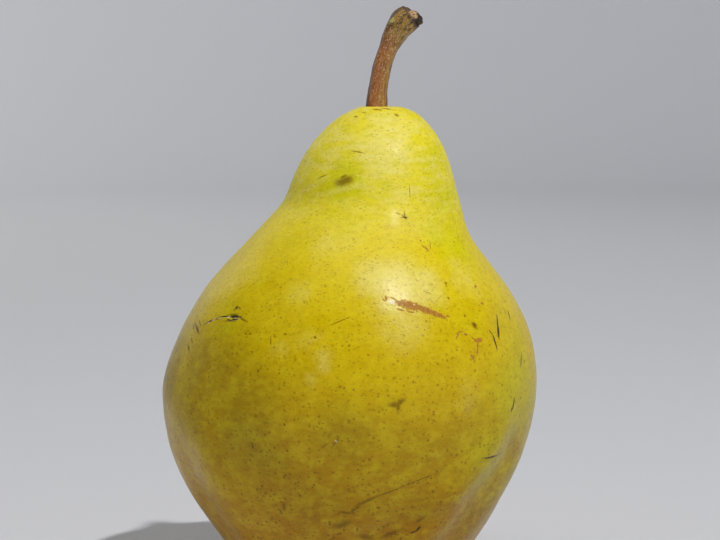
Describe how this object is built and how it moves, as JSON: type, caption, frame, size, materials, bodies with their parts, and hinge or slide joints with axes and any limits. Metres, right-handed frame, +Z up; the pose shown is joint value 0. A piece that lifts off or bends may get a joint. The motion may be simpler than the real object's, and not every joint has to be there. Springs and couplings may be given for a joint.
{
  "type": "pear",
  "caption": "Ripe pear standing upright on its blossom end, with a curved woody stem on the crown and a dried calyx in the hollow underneath.",
  "frame": {"origin": "on the surface that the pear stands on, under the middle of the fruit", "axes": "+Z up from the blossom end towards the stem, +X to the right as seen from the front, -Y towards the front"},
  "size_m": [0.0707, 0.071, 0.1117],
  "materials": {
    "pear_skin": "waxy skin, yellow with a green tinge on the neck and golden below, freckled with small brown dots and russet scars",
    "stem_bark": "smooth copper-brown bark with pale flecks, darker and torn at the far end",
    "calyx_dry": "dry, dark brown, papery"
  },
  "bodies": {
    "root": {"fruit": "pear_skin", "stem": "stem_bark", "calyx": "calyx_dry"}
  },
  "joints": []
}
